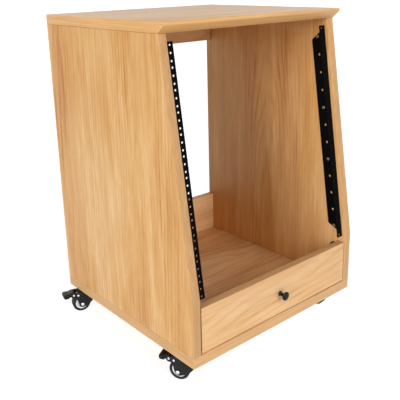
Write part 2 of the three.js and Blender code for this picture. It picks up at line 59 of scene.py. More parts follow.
# Brightness as a source of light, and as the camera and the glossy surfaces see it
FLOOR_LEVELS = (0.4, 0.8)
WORLD_LEVELS = (0.1, 1.0)
# Far soft lights: the direction that each shines from, its strength and its width in degrees
SUNS = {
    "key_left": ((-1.0, -0.3, 0.28), 1.83, 30),
    "front_high": ((-0.08, -1.0, 0.7), 0.6, 20),
    "front_wide": ((-0.2, -1.0, 0.45), 0.62, 30),
    "front_low": ((0.0, -1.0, 0.13), 0.45, 20),
    "right_fill": ((1.0, 0.05, 0.3), 0.95, 30),
    "back_fill": ((0.1, 1.0, 0.45), 0.4, 40),
}


def make_camera():
    data = bpy.data.cameras.new("camera")
    data.sensor_width = 36
    data.lens = 55.3
    data.shift_y = -0.10
    data.clip_end = 200
    camera = bpy.data.objects.new("camera", data)
    turn = (
        Matrix.Rotation(CAMERA_YAW, 4, "Z")
        @ Matrix.Rotation(CAMERA_PITCH, 4, "X")
        @ Matrix.Rotation(CAMERA_ROLL, 4, "Y")
        @ Matrix.Rotation(math.pi / 2, 4, "X")
    )
    camera.matrix_world = Matrix.Translation(CAMERA_PLACE) @ turn
    bpy.context.collection.objects.link(camera)
    bpy.context.scene.camera = camera


def sun(name, toward, strength, softness):
    data = bpy.data.lights.new(name, "SUN")
    data.energy = strength
    data.angle = math.radians(softness)
    light = bpy.data.objects.new(name, data)
    light.rotation_euler = Vector(toward).to_track_quat("Z", "Y").to_euler()
    bpy.context.collection.objects.link(light)


def level_by_ray(tree, lighting, seen):
    """One brightness for the light that is given, another where the camera or a gloss sees it."""
    nodes, links = tree.nodes, tree.links
    rays = nodes.new("ShaderNodeLightPath")
    looks = nodes.new("ShaderNodeMath")
    looks.operation = "MAXIMUM"
    level = nodes.new("ShaderNodeMapRange")
    level.inputs["To Min"].default_value = lighting
    level.inputs["To Max"].default_value = seen
    links.new(rays.outputs["Is Camera Ray"], looks.inputs[0])
    links.new(rays.outputs["Is Glossy Ray"], looks.inputs[1])
    links.new(looks.outputs[0], level.inputs[0])
    return level.outputs[0]


def make_floor():
    mesh = bpy.data.meshes.new("floor")
    corners = box(-FLOOR_REACH, -FLOOR_REACH, FLOOR_REACH, FLOOR_REACH)
    mesh.from_pydata([(x, y, FLOOR_Z * MM) for x, y in corners], [], [(0, 1, 2, 3)])
    floor = bpy.data.objects.new("floor", mesh)
    bpy.context.collection.objects.link(floor)
    tree = Tree("floor_white")
    tree.put("Roughness", 0.9)
    tree.put("Emission Color", (1, 1, 1, 1))
    tree.link(level_by_ray(tree, *FLOOR_LEVELS), "Emission Strength")
    cloud = tree.noise(tree.coordinates(), FLOOR_CLOUD_SCALE, 2)
    tree.link(tree.ramp(cloud, FLOOR_STOPS), "Base Color")
    mesh.materials.append(tree.material)


def make_light():
    world = bpy.data.worlds.new("studio")
    world.use_nodes = True
    tree = world.node_tree
    background = tree.nodes["Background"]
    tree.links.new(level_by_ray(tree, *WORLD_LEVELS), background.inputs["Strength"])
    background.inputs["Color"].default_value = (1, 1, 1, 1)
    bpy.context.scene.world = world
    bpy.context.scene.view_settings.view_transform = "Standard"
    for name, (toward, strength, softness) in SUNS.items():
        sun(name, toward, strength, softness)


# --- Node trees -------------------------------------------------------------------------------
def srgb(color):
    """Linear values of a colour that is given in steps of 255."""
    shares = [c / 255 for c in color]
    return tuple(c / 12.92 if c <= 0.04045 else ((c + 0.055) / 1.055) ** 2.4 for c in shares)


class Tree:
    """A node material with short calls for the nodes that it is built from."""

    def __init__(self, name):
        self.material = bpy.data.materials.new(name)
        self.material.use_nodes = True
        self.nodes = self.material.node_tree.nodes
        self.links = self.material.node_tree.links
        self.shader = self.nodes["Principled BSDF"]

    def link(self, source, target):
        self.links.new(source, self.shader.inputs[target])

    def put(self, target, value):
        self.shader.inputs[target].default_value = value

    def feed(self, node, key, value):
        if isinstance(value, bpy.types.NodeSocket):
            self.links.new(value, node.inputs[key])
        else:
            node.inputs[key].default_value = value

    def coordinates(self, output="Object"):
        return self.nodes.new("ShaderNodeTexCoord").outputs[output]

    def split(self, vector):
        node = self.nodes.new("ShaderNodeSeparateXYZ")
        self.feed(node, 0, vector)
        return list(node.outputs)

    def joined(self, x, y, z):
        node = self.nodes.new("ShaderNodeCombineXYZ")
        for key, value in enumerate((x, y, z)):
            self.feed(node, key, value)
        return node.outputs[0]

    def math(self, operation, a, b=0.0, clamp=False):
        node = self.nodes.new("ShaderNodeMath")
        node.operation = operation
        node.use_clamp = clamp
        self.feed(node, 0, a)
        self.feed(node, 1, b)
        return node.outputs[0]

    def add(self, a, b):
        return self.math("ADD", a, b)

    def minus(self, a, b, clamp=False):
        return self.math("SUBTRACT", a, b, clamp)

    def times(self, a, b):
        return self.math("MULTIPLY", a, b)

    def scaled(self, vector, scale, offset=(0, 0, 0)):
        node = self.nodes.new("ShaderNodeMapping")
        self.feed(node, "Vector", vector)
        node.inputs["Scale"].default_value = scale
        node.inputs["Location"].default_value = offset
        return node.outputs[0]

    def noise(self, vector, scale, detail=2.0, roughness=0.5, distortion=0.0):
        node = self.nodes.new("ShaderNodeTexNoise")
        self.feed(node, "Vector", vector)
        node.inputs["Scale"].default_value = scale
        node.inputs["Detail"].default_value = detail
        node.inputs["Roughness"].default_value = roughness
        node.inputs["Distortion"].default_value = distortion
        return node.outputs["Fac"]

    def mix_color(self, share, a, b):
        node = self.nodes.new("ShaderNodeMix")
        node.data_type = "RGBA"
        self.feed(node, 0, share)
        self.feed(node, 6, a)
        self.feed(node, 7, b)
        return node.outputs[2]

    def mix_vector(self, share, a, b):
        node = self.nodes.new("ShaderNodeMix")
        node.data_type = "VECTOR"
        self.feed(node, 0, share)
        self.feed(node, 4, a)
        self.feed(node, 5, b)
        return node.outputs[1]

    def ramp(self, value, stops):
        node = self.nodes.new("ShaderNodeValToRGB")
        self.feed(node, 0, value)
        elements = node.color_ramp.elements
        while len(elements) < len(stops):
            elements.new(0.5)
        for element, (place, color) in zip(elements, stops):
            element.position = place
            element.color = (*srgb(color), 1)
        return node.outputs[0]

    def span(self, value, low, high):
        node = self.nodes.new("ShaderNodeMapRange")
        self.feed(node, 0, value)
        node.inputs["To Min"].default_value = low
        node.inputs["To Max"].default_value = high
        return node.outputs[0]

    def bump(self, height, strength, distance):
        node = self.nodes.new("ShaderNodeBump")
        node.inputs["Strength"].default_value = strength
        node.inputs["Distance"].default_value = distance
        self.feed(node, "Height", height)
        self.link(node.outputs[0], "Normal")


# --- Oak print --------------------------------------------------------------------------------
OAK_STOPS = [
    (0.0, (180, 109, 48)),
    (0.3, (204, 144, 77)),
    (0.6, (216, 163, 94)),
    (1.0, (233, 193, 138)),
]
BAND_STOPS = [
    (0.3, (194, 146, 96)),
    (0.5, (205, 158, 107)),
    (0.75, (220, 176, 124)),
    (1.0, (246, 204, 141)),
]
# Band colours of the top's nose and ends: the edging's own tone, brightened and warmed as a painted
# highlight along those edges
WARM_BAND_STOPS = [
    (0.3, (194, 138, 77)),
    (0.5, (208, 152, 89)),
    (0.75, (227, 173, 109)),
    (1.0, (248, 199, 129)),
]
# Blush colour of the print. A board's share of it is the board's own tone, and on the back boards
# it is also painted light
BLUSH = (236, 194, 150)
BLUSH_SPREAD = 0.3

# Noise layers: scales across and along the grain, offset, detail, roughness and distortion
LAYERS = {
    "clouds": (6, 1.6, (5.2, 2.8, 0.4), 2, 0.5, 0),
    "bands": (24, 2.3, (0, 0, 0), 2, 0.5, 0),
    "streaks": (70, 3.4, (0, 0, 0), 2.5, 0.5, 0.3),
    "lines": (230, 7, (0, 0, 0), 2, 0.5, 0),
    "fine": (620, 9, (0, 0, 0), 2, 0.6, 0),
    "flecks": (450, 30, (0, 0, 0), 3, 0.6, 0),
    "mottle": (40, 9, (9.1, 4.2, 6.6), 3, 0.6, 0.7),
    "wander": (7, 2.4, (3.1, 0.7, 5.9), 2.5, 0.5, 0),
    "shown": (13, 2.2, (7.7, 1.3, 2.9), 2, 0.5, 0),
    "blush": (16, 3.0, (1.7, 8.3, 4.9), 2, 0.5, 0),
}
# The wood's middle tone, and how far the rings, the streaks and the other layers move it
MIDDLE_TONE = 0.6
LATE_WOOD_WEIGHT = 1.8
STREAK_WEIGHT = 0.6
LAYER_WEIGHTS = {
    "clouds": 0.7,
    "bands": 1.15,
    "mottle": 0.65,
    "lines": 0.45,
    "fine": 0.8,
    "flecks": 0.5,
}
# Growth rings: their number in a metre, how far the noise moves them, the slope of the tree's
# middle along a board, and the power that narrows their dark lines
RINGS_PER_METRE = 95
RING_WANDER = 3.4
HEART_SLOPE = 0.07
LATE_WOOD_POWER = 3
FULL_TURN = 6.2832
# Levels of the layer "shown" over which rings and streaks come out
RINGS_FROM = 0.42
STREAKS_FROM = 0.3
# A face looks along an axis where its normal's part along that axis is over this
FACING = 0.75
# Each board takes its print from its own place in the noise
SEED_SHIFT = (0.731, 0.417, 0.293)
WOOD_SPECULAR = 0.25
WOOD_COAT_ROUGHNESS = 0.16
WOOD_ROUGHNESS = (0.45, 0.62)
WOOD_RELIEF = (0.25, 0.0002)

# Along which axis the grain runs, across which one the broad faces lie, seed, heart, contrast,
# gloss of the coat, share of the blush, brightness of the banded edges and their own colours.
# The heart is where the tree's middle lies, across the board's face and behind it, in metres.
GRAINS = {
    "left_side_panel": ("Z", "X", 1, (0.31, -0.16), 1.0, 0.1, 0.1, -0.05),
    "right_side_panel": ("Z", "X", 2, (0.02, -0.02), 0.85, 0.1, 0.14, -0.04),
    "base_panel": ("X", "Z", 3, (0.05, 0.03), 1.7, 0.1, 0.42, 0.14),
    # The top's high edge brightness and warm band colours paint the highlight along its nose and
    # ends
    "top_panel": ("X", "Z", 4, (-0.4, 0.05), 0.75, 0.3, 0.25, 0.24, WARM_BAND_STOPS),
    # Painted light: the back boards' high blush share brightens them as if more light reached them
    "lower_back_board": ("X", "Y", 5, (0.3, 0.1), 1.6, 0.1, 0.6, 0.05),
    "upper_back_rail": ("X", "Y", 6, (0.9, 0.1), 2.0, 0.1, 0.6, 0.15),
    "front_flap": ("X", "Y", 7, (0.2, 0.05), 1.12, 0.1, 0.42, 0.0),
}


def faces(tree, normal_part):
    return tree.math("GREATER_THAN", tree.math("ABSOLUTE", normal_part), FACING)


def grain_of(tree, along, face, seed):
    """Coordinates across, through and along the grain, and whether a point is on a broad face."""
    x, y, z = tree.split(tree.coordinates())
    normal = dict(zip("XYZ", tree.split(tree.coordinates("Normal"))))
    on_face = faces(tree, normal[face])
    if along == "Z":
        grain = tree.joined(y, x, z)
    elif face == "Z":
        on_end = faces(tree, normal["X"])
        grain = tree.mix_vector(on_end, tree.joined(y, z, x), tree.joined(x, z, y))
    else:
        grain = tree.joined(z, y, x)
    return tree.scaled(grain, (1, 1, 1), [seed * part for part in SEED_SHIFT]), on_face


def late_wood(tree, grain, layers, seed, heart):
    """The dark lines of the growth rings, where the noise lets them show."""
    across, _, length = tree.split(grain)
    side = tree.minus(across, seed * SEED_SHIFT[0] + heart[0])
    depth = tree.add(tree.times(length, HEART_SLOPE), heart[1])
    square = tree.add(tree.math("POWER", side, 2), tree.math("POWER", depth, 2))
    rings = tree.times(tree.math("SQRT", square), RINGS_PER_METRE)
    rings = tree.add(rings, tree.times(layers["wander"], RING_WANDER))
    wave = tree.math("SINE", tree.times(rings, FULL_TURN))
    late = tree.math("POWER", tree.span(tree.times(wave, 0.5), 0.5, 1.5), LATE_WOOD_POWER)
    return tree.times(late, tree.minus(layers["shown"], RINGS_FROM, True))


def wood_color(tree, grain, layers, seed, heart, contrast, pale_and_painted_light):
    late = late_wood(tree, grain, layers, seed, heart)
    busy = tree.span(tree.times(tree.minus(layers["shown"], STREAKS_FROM, True), 2.5), 0.3, 1.4)
    streaks = tree.times(tree.minus(layers["streaks"], 0.5), busy)
    tone = tree.minus(MIDDLE_TONE, tree.times(late, LATE_WOOD_WEIGHT * contrast))
    tone = tree.add(tone, tree.times(streaks, STREAK_WEIGHT * contrast))
    for layer, weight in LAYER_WEIGHTS.items():
        tone = tree.add(tone, tree.times(tree.minus(layers[layer], 0.5), weight * contrast))
    # The blush share mixes in the board's own tone and, on the back boards, painted light
    blush_share_and_painted_light = tree.span(layers["blush"], pale_and_painted_light - BLUSH_SPREAD, pale_and_painted_light + BLUSH_SPREAD)
    return tree.mix_color(blush_share_and_painted_light, tree.ramp(tone, OAK_STOPS), (*srgb(BLUSH), 1))


def oak(name, along, face, seed, heart, contrast, gloss, pale_and_painted_light, edge, band_stops=BAND_STOPS):
    """Oak print with its grain along one axis, and banded edges whose grain follows the edge."""
    tree = Tree(name)
    grain, on_face = grain_of(tree, along, face, seed)
    layers = {}
    for layer, (across, length, offset, *settings) in LAYERS.items():
        place = tree.scaled(grain, (across, across, length), offset)
        layers[layer] = tree.noise(place, 1, *settings)
    wood = wood_color(tree, grain, layers, seed, heart, contrast, pale_and_painted_light)
    band = tree.add(tree.times(layers["lines"], 0.6), tree.times(layers["streaks"], 0.4))
    band = tree.ramp(tree.add(band, edge), band_stops)
    tree.link(tree.mix_color(on_face, band, wood), "Base Color")
    tree.link(tree.span(layers["streaks"], *WOOD_ROUGHNESS), "Roughness")
    tree.put("Specular IOR Level", WOOD_SPECULAR)
    tree.put("Coat Weight", gloss)
    tree.put("Coat Roughness", WOOD_COAT_ROUGHNESS)
    tree.bump(tree.add(layers["flecks"], layers["fine"]), *WOOD_RELIEF)
    return tree.material


# --- Paint, plastic and metal -----------------------------------------------------------------
PATCH_SCALE = 35
COAT_RELIEF = 0.0001


def coated(name, dark, light, roughness, grain, bump, metallic=0.0, spec=0.5):
    """Painted, moulded and plated surfaces: fine grain, soft patches, a little relief."""
    tree = Tree(name)
    place = tree.coordinates()
    patches = tree.noise(place, PATCH_SCALE, 3, 0.6)
    speckle = tree.noise(place, grain, 3, 0.6)
    share = tree.add(tree.times(patches, 0.5), tree.times(speckle, 0.5))
    tree.link(tree.ramp(share, [(0.3, dark), (0.7, light)]), "Base Color")
    tree.link(tree.span(share, roughness - 0.08, roughness + 0.1), "Roughness")
    tree.put("Metallic", metallic)
    tree.put("Specular IOR Level", spec)
    tree.bump(speckle, bump, COAT_RELIEF)
    return tree.material


def make_materials():
    bright = ((196, 198, 202), (222, 224, 227))
    # The rail screws' dark finish is their own; their brownish cast paints the reflection of the
    # wood round them
    dull = ((112, 104, 90), (140, 131, 116))
    return {
        "powder": coated("powder_coat", (3, 3, 4), (9, 9, 10), 0.7, 1600, 0.4, spec=0.04),
        "paint": coated("caster_paint", (6, 6, 7), (16, 16, 18), 0.34, 1300, 0.4, spec=0.26),
        "plastic": coated("pedal_plastic", (4, 4, 5), (12, 12, 13), 0.4, 1800, 0.35, spec=0.22),
        "knob": coated("knob_plastic", (3, 3, 5), (9, 9, 12), 0.14, 900, 0.05, spec=0.22),
        "tyre": coated("tyre_tread", (9, 9, 10), (21, 21, 22), 0.55, 1100, 0.5, spec=0.3),
        "hub": coated("hub_plastic", (236, 237, 239), (250, 251, 252), 0.2, 900, 0.1, spec=1.0),
        "zinc": coated("bright_zinc", *bright, 0.22, 1500, 0.2, 1.0),
        "dark_zinc": coated("dark_zinc", *dull, 0.36, 1500, 0.25, 1.0),
    }


# --- Outlines ---------------------------------------------------------------------------------
def box(x0, y0, x1, y1):
    return [(x0, y0), (x1, y0), (x1, y1), (x0, y1)]


def rounded(points, radii, steps=ARC_STEPS):
    """A closed outline in two coordinates whose corners are rounded by their own radii."""
    made = []
    count = len(points)
    for k, (point, radius) in enumerate(zip(points, radii)):
        if radius <= 0:
            made.append(tuple(point))
            continue
        here = Vector(point)
        before = (Vector(points[k - 1]) - here).normalized()
        after = (Vector(points[(k + 1) % count]) - here).normalized()
        half = before.angle(after) / 2
        reach = radius / math.tan(half)
        centre = here + (before + after).normalized() * radius / math.sin(half)
        start = here + before * reach - centre
        end = here + after * reach - centre
        turn = start.angle_signed(end)
        for step in range(steps + 1):
            angle = -turn * step / steps
            spun = Matrix.Rotation(angle, 2) @ start
            made.append(tuple(centre + spun))
    return made


def arc(centre, radius, start, end, steps=2 * ARC_STEPS):
    """Points of an arc, its angles in degrees."""
    made = []
    for step in range(steps + 1):
        angle = math.radians(start + (end - start) * step / steps)
        made.append((centre[0] + radius * math.cos(angle), centre[1] + radius * math.sin(angle)))
    return made


def curve(start, control, end, steps=ARC_STEPS):
    """Points of a curve with one control point, without its two ends."""
    made = []
    for step in range(1, steps):
        t = step / steps
        near, middle, far = (1 - t) ** 2, 2 * t * (1 - t), t * t
        points = zip(start, control, end)
        made.append(tuple(near * a + middle * b + far * c for a, b, c in points))
    return made


# --- Meshes -----------------------------------------------------------------------------------
SAME_POINT = 1e-7
EASED_FROM = 32


def to_object(name, bm):
    bmesh.ops.remove_doubles(bm, verts=bm.verts, dist=SAME_POINT)
    bmesh.ops.recalc_face_normals(bm, faces=bm.faces)
    mesh = bpy.data.meshes.new(name)
    bm.to_mesh(mesh)
    bm.free()
    piece = bpy.data.objects.new(name, mesh)
    bpy.context.collection.objects.link(piece)
    return piece


def prism(points, low, high, axis):
    """An outline drawn in the other two axes and swept along one axis."""
    bm = bmesh.new()
    order = {"X": (2, 0, 1), "Y": (0, 2, 1), "Z": (0, 1, 2)}[axis]
    ends = []
    for depth in (low, high):
        verts = []
        for a, b in points:
            values = (a, b, depth)
            verts.append(bm.verts.new([values[k] * MM for k in order]))
        ends.append(verts)
    bm.faces.new(ends[0])
    bm.faces.new(ends[1])
    for k in range(len(points)):
        j = (k + 1) % len(points)
        bm.faces.new((ends[0][k], ends[0][j], ends[1][j], ends[1][k]))
    return to_object("prism", bm)


def lathe(profile, steps=LATHE_STEPS, ring=False):
    """A profile of radius and height, turned round Z. A ring joins the profile's two ends."""
    bm = bmesh.new()
    turns = [2 * math.pi * k / steps for k in range(steps)]
    rings = []
    for radius, height in profile:
        if radius < 1e-6:
            rings.append([bm.verts.new((0, 0, height * MM))])
            continue
        around = [(radius * math.cos(t) * MM, radius * math.sin(t) * MM) for t in turns]
        rings.append([bm.verts.new((x, y, height * MM)) for x, y in around])
    if ring:
        rings.append(rings[0])
    for low, high in zip(rings, rings[1:]):
        for k in range(steps):
            corners = ((low, k), (low, k + 1), (high, k + 1), (high, k))
            verts = [circle[place % len(circle)] for circle, place in corners]
            bm.faces.new(list(dict.fromkeys(verts)))
    return to_object("turned", bm)


def rod(radius, low, high, steps):
    return lathe([(0, low), (radius, low), (radius, high), (0, high)], steps)


def apply_modifiers(piece):
    graph = bpy.context.evaluated_depsgraph_get()
    mesh = bpy.data.meshes.new_from_object(piece.evaluated_get(graph))
    piece.modifiers.clear()
    old = piece.data
    piece.data = mesh
    bpy.data.meshes.remove(old)
    return piece


def combine(piece, tool, operation):
    """Boolean of two objects. The tool is used up."""
    modifier = piece.modifiers.new("combine", "BOOLEAN")
    modifier.operation = operation
    modifier.solver = "EXACT"
    modifier.object = tool
    apply_modifiers(piece)
    bpy.data.objects.remove(tool)
    return piece


def merged(pieces):
    """Several objects that don't touch, as one."""
    bm = bmesh.new()
    for piece in pieces:
        copy = piece.data.copy()
        copy.transform(piece.matrix_world)
        bm.from_mesh(copy)
        bpy.data.meshes.remove(copy)
        bpy.data.objects.remove(piece)
    return to_object("merged", bm)


def soften(piece, width, segments=2):
    """Rounds the sharp edges."""
    modifier = piece.modifiers.new("soften", "BEVEL")
    modifier.width = width * MM
    modifier.segments = segments
    modifier.limit_method = "ANGLE"
    modifier.angle_limit = math.radians(EASED_FROM)
    modifier.use_clamp_overlap = True
    return apply_modifiers(piece)


def shade(piece, angle=34):
    """Smooth shading, but for the edges that are sharper than the angle."""
    piece.data.shade_smooth()
    piece.data.set_sharp_from_angle(angle=math.radians(angle))
    return piece


def spun(piece, degrees, axis):
    piece.data.transform(Matrix.Rotation(math.radians(degrees), 4, axis))
    return piece


def turned_to_x(piece):
    return spun(piece, 90, "Y")


def moved(piece, x=0, y=0, z=0):
    piece.data.transform(Matrix.Translation((x * MM, y * MM, z * MM)))
    return piece


def copied(piece):
    twin = bpy.data.objects.new(piece.name + "_copy", piece.data.copy())
    bpy.context.collection.objects.link(twin)
    return twin


def at(x, y, z):
    """The matrix that moves the origin to a place in millimetres."""
    return Matrix.Translation(Vector((x, y, z)) * MM)


def finished(piece, name, material, body, replaced, place=None):
    """Names a piece, gives it its material, puts it in place on its body and hides the solids that
    it stands for.
    """
    piece.name = name
    piece.data.name = name
    if place is not None:
        piece.data.transform(place)
        if place.determinant() < 0:
            piece.data.flip_normals()
    piece.data.materials.clear()
    piece.data.materials.append(material)
    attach(piece, body)
    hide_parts(*replaced)


def assign(piece, material):
    """Gives a material to a solid that is shown as it is."""
    if not piece.material_slots:
        piece.data.materials.append(material)
    for slot in piece.material_slots:
        slot.material = material


# --- Boards -----------------------------------------------------------------------------------
BOARD_EASING = 0.7


def board(node, material):
    """A board with its sharp edges eased, in the place of the plain one."""
    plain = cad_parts[node]
    bm = bmesh.new()
    bm.from_mesh(plain.data)
    bm.transform(plain.matrix_world)
    bmesh.ops.remove_doubles(bm, verts=bm.verts, dist=1e-6)
    flat = math.radians(1)
    bmesh.ops.dissolve_limit(bm, angle_limit=flat, verts=bm.verts, edges=bm.edges)
    eased = shade(soften(to_object(node, bm), BOARD_EASING), 30)
    body = "flap" if node == "front_flap" else "cabinet"
    finished(eased, node + "_eased", material, body, [node])


def dress_boards():
    for node, grain in GRAINS.items():
        board(node, oak("oak_" + node, *grain))


# --- Screws -----------------------------------------------------------------------------------
SCREW_RIM = 0.3


def cross_recess(depth, span, width):
    """Two crossed bars that cut a plain cross into a screw head, its floor on the origin."""
    bars = []
    for a, b in ((span, width), (width, span)):
        bars.append(prism(box(-a / 2, -b / 2, a / 2, b / 2), 0, depth, "Z"))
    return combine(bars[0], bars[1], "UNION")


def screw(head_radius, head_height, shank_radius, length):
    """Pan head with a cross recess, its seat on the origin and the shank down Z."""
    profile = [(0, -length), (shank_radius, shank_radius - length), (shank_radius, 0)]
    profile += [(head_radius - SCREW_RIM, 0), (head_radius, SCREW_RIM)]
    crown = head_height - SCREW_RIM
    dome = arc((0, 0), 1, 8, 90, 10)
    profile += [(head_radius * a, SCREW_RIM + crown * b) for a, b in dome[:-1]]
    profile.append((0, head_height))
    body = lathe(profile, RIVET_STEPS)
    span = head_radius * 1.05
    tool = moved(cross_recess(head_height, span, span * 0.22), z=head_height * 0.42)
    return combine(body, tool, "DIFFERENCE")


# --- Rack rails -------------------------------------------------------------------------------
UNITS, UNIT, HOLE_STEP = 12, 44.45, 15.875
RAIL_LENGTH = UNITS * UNIT
INSIDE_WIDTH = 490.1
# The side panels' slanted front edge: where it starts, how far it leans back, and its length
BEND_Y, BEND_Z = -262.5, 156
SLANT_DEPTH, SLANT_LENGTH = 83, 546.4
SLANT = math.asin(SLANT_DEPTH / SLANT_LENGTH)
# The rail's foot lies this far behind that edge, and this far below its start
RECESS, FOOT_DROP = 8.5, 3
FOOT_Y = BEND_Y + RECESS * math.cos(SLANT) - FOOT_DROP * math.sin(SLANT)
FOOT_Z = BEND_Z - RECESS * math.sin(SLANT) - FOOT_DROP * math.cos(SLANT)

FRONT_FLANGE, SIDE_FLANGE, SHEET = 20, 41, 2
FREE_EDGE = 7.6
SIDE_HOLE_LINE, SIDE_HOLE_RADIUS = 23, 3.3
SIDE_HOLES = [24.7 + 44 * k for k in range(12)]
SCREWED_HOLES = (0, 4, 7, 11)


def rail_bar():
    """The bent sheet, its side flange cut off at an angle down to a narrow strip at both ends."""
    bend = 2.5
    section = [(0, 0), (0, SIDE_FLANGE), (SHEET, SIDE_FLANGE)]
    section += [(SHEET, SHEET), (FRONT_FLANGE, SHEET), (FRONT_FLANGE, 0)]
    bar = prism(rounded(section, [bend, 0, 0, bend - SHEET, 0, 0]), 0, RAIL_LENGTH, "Z")
    strip, strip_end, chamfer = 8, 10, 22
    full = strip_end + chamfer
    outline = [
        (-2, -1),
        (strip, -1),
        (strip, strip_end),
        (SIDE_FLANGE + 2, full),
        (SIDE_FLANGE + 2, RAIL_LENGTH - full),
        (strip, RAIL_LENGTH - strip_end),
        (strip, RAIL_LENGTH + 1),
        (-2, RAIL_LENGTH + 1),
    ]
    radii = [0, 1.2, 2, 0, 0, 2, 1.2, 0]
    return combine(bar, prism(rounded(outline, radii), -5, FRONT_FLANGE + 5, "X"), "INTERSECT")


def tapped_hole():
    """Cutter of a tapped hole through the front flange, along Y."""
    root, crest, mouth = 2.7, 2.3, 3.1
    thread = [(0, -1), (mouth, -1), (mouth, 0), (crest, 0.4), (root, 0.7), (crest, 1)]
    thread += [(root, 1.3), (crest, 1.6), (mouth, SHEET), (mouth, 3), (0, 3)]
    return spun(lathe(thread, HOLE_STEPS), -90, "X")


def rail_shape():
    """The left rail: its corner on the origin, front flange along X, side flange along Y."""
    cutters = []
    for unit in range(UNITS):
        for offset in (-HOLE_STEP, 0, HOLE_STEP):
            height = UNIT * (unit + 0.5) + offset
            cutters.append(moved(tapped_hole(), FRONT_FLANGE - FREE_EDGE, 0, height))
    for height in SIDE_HOLES:
        hole = turned_to_x(rod(SIDE_HOLE_RADIUS, -4, 4, HOLE_STEPS))
        cutters.append(moved(hole, 0, SIDE_HOLE_LINE, height))
    bar = combine(rail_bar(), merged(cutters), "DIFFERENCE")
    return shade(soften(bar, 0.25))


def make_rails(materials):
    rail = rail_shape()
    head = turned_to_x(shade(screw(4.6, 2.6, 2, 16), 30))
    powder, zinc = materials["powder"], materials["dark_zinc"]
    tilt = Matrix.Rotation(-SLANT, 4, "X")
    for side, sign in (("left", 1), ("right", -1)):
        corner = at(-sign * (INSIDE_WIDTH / 2 - SEAT_GAP), FOOT_Y, FOOT_Z)
        place = corner @ tilt @ Matrix.Diagonal((sign, 1, 1, 1))
        node = side + "_rack_rail"
        name = node + "_punched"
        finished(copied(rail), name, powder, "cabinet", [node], place)
        for number, hole in enumerate(SCREWED_HOLES, 1):
            seat = at(SHEET + SEAT_GAP, SIDE_HOLE_LINE, SIDE_HOLES[hole])
            # Every screw was driven home with its cross at an angle of its own
            turn = Matrix.Rotation(0.7 * number + sign, 4, "X")
            spot = place @ seat @ turn
            held = f"{node}_screw_{number}"
            name = held + "_pan_head"
            finished(copied(head), name, zinc, "cabinet", [held], spot)
    bpy.data.objects.remove(rail)
    bpy.data.objects.remove(head)


# --- Flap's knob and its screw ----------------------------------------------------------------
FLAP_FRONT, FLAP_THICKNESS = -262.5, 19
KNOB_Z = 80.8
# Radius, and height over the flap's front
KNOB_SOCKET = [(0, 12), (2, 12), (2, 0)]
KNOB_FOOT = [(5.6, 0), (6, 0.4), (6, 1.8), (5.7, 2.2), (4.6, 2.6)]
KNOB_NECK = [(3.8, 4.0), (3.55, 6.0), (3.75, 8.2), (4.5, 10.4), (5.8, 12.6), (7.6, 14.6)]
KNOB_RIM = [(9.5, 16.2), (10.6, 17.2), (11, 18.0), (10.8, 18.9), (10.1, 19.8)]
KNOB_CROWN = [(8.6, 20.7), (6.6, 21.4), (3.6, 21.85), (0, 22)]


def make_knob(materials):
    knob = shade(lathe(KNOB_SOCKET + KNOB_FOOT + KNOB_NECK + KNOB_RIM + KNOB_CROWN), 60)
    front = at(0, FLAP_FRONT - SEAT_GAP, KNOB_Z) @ Matrix.Rotation(math.pi / 2, 4, "X")
    black = materials["knob"]
    finished(knob, "flap_knob_turned", black, "flap", ["flap_knob"], front)
    head = shade(screw(4.5, 2.4, 1.8, 30.1), 30)
    back = at(0, FLAP_FRONT + FLAP_THICKNESS + SEAT_GAP, KNOB_Z)
    back = back @ Matrix.Rotation(-math.pi / 2, 4, "X")
    zinc = materials["zinc"]
    finished(head, "knob_screw_pan_head", zinc, "flap", ["knob_screw"], back)


# --- Casters ----------------------------------------------------------------------------------
# Drawn with the kingpin's axis on Z, the base panel's underside at zero and the wheel towards Y.
# Place of each kingpin, and the degrees that the caster is turned by
CASTERS = {
    "front_left": (-235.55, -215, 29),
    "front_right": (235.55, -215, 5),
    "back_left": (-235.55, 215, 75),
    "back_right": (235.55, 215, -35),
}
# Y and Z of the pins that cross the fork
AXLE = (26, -39.5)
RIVET = (47.5, -10.3)
SPACER = (35.5, -13)
AXLE_BORE, RIVET_BORE, KINGPIN_BORE = 3.3, 2.3, 4.3
FORK_HALF, FORK_SHEET, FORK_TOP, FORK_NOSE = 15, 2, 4.8, 17


def square(width, corner):
    half = width / 2
    return rounded([(half, half), (-half, half), (-half, -half), (half, -half)], [corner] * 4)


def cross_bored(piece, radius, spot):
    """Bores a piece through along X."""
    bore = turned_to_x(rod(radius, -PAST, PAST, BORE_STEPS))
    return combine(piece, moved(bore, 0, *spot), "DIFFERENCE")


def plate_shape():
    """The mounting plate with its raised race and the heads of its four screws."""
    plate = soften(prism(square(42, 6), -2.6, -SEAT_GAP, "Z"), 0.4)
    race = lathe([(0, -1), (13, -1), (13, -2.9), (12.2, -4.0), (10.6, -4.5), (0, -4.5)])
    combine(plate, race, "UNION")
    head = spun(screw(3.6, 1.3, 1.7, 1.2), 180, "X")
    for x in (-15, 15):
        for y in (-15, 15):
            combine(plate, moved(copied(head), x, y, -2.5), "UNION")
    bpy.data.objects.remove(head)
    return shade(combine(plate, rod(KINGPIN_BORE, -9, 2, RIVET_STEPS), "DIFFERENCE"), 30)


def kingpin_shape():
    """The swaged head under the fork and the pin up to the base panel."""
    profile = [(0, -9.5), (3.2, -9.5), (5.6, -9.1), (6.8, -8.3), (7, -7.6), (7, -7.1)]
    profile += [(4, -7.1), (4, -SEAT_GAP), (0, -SEAT_GAP)]
    return shade(lathe(profile, PIN_STEPS))


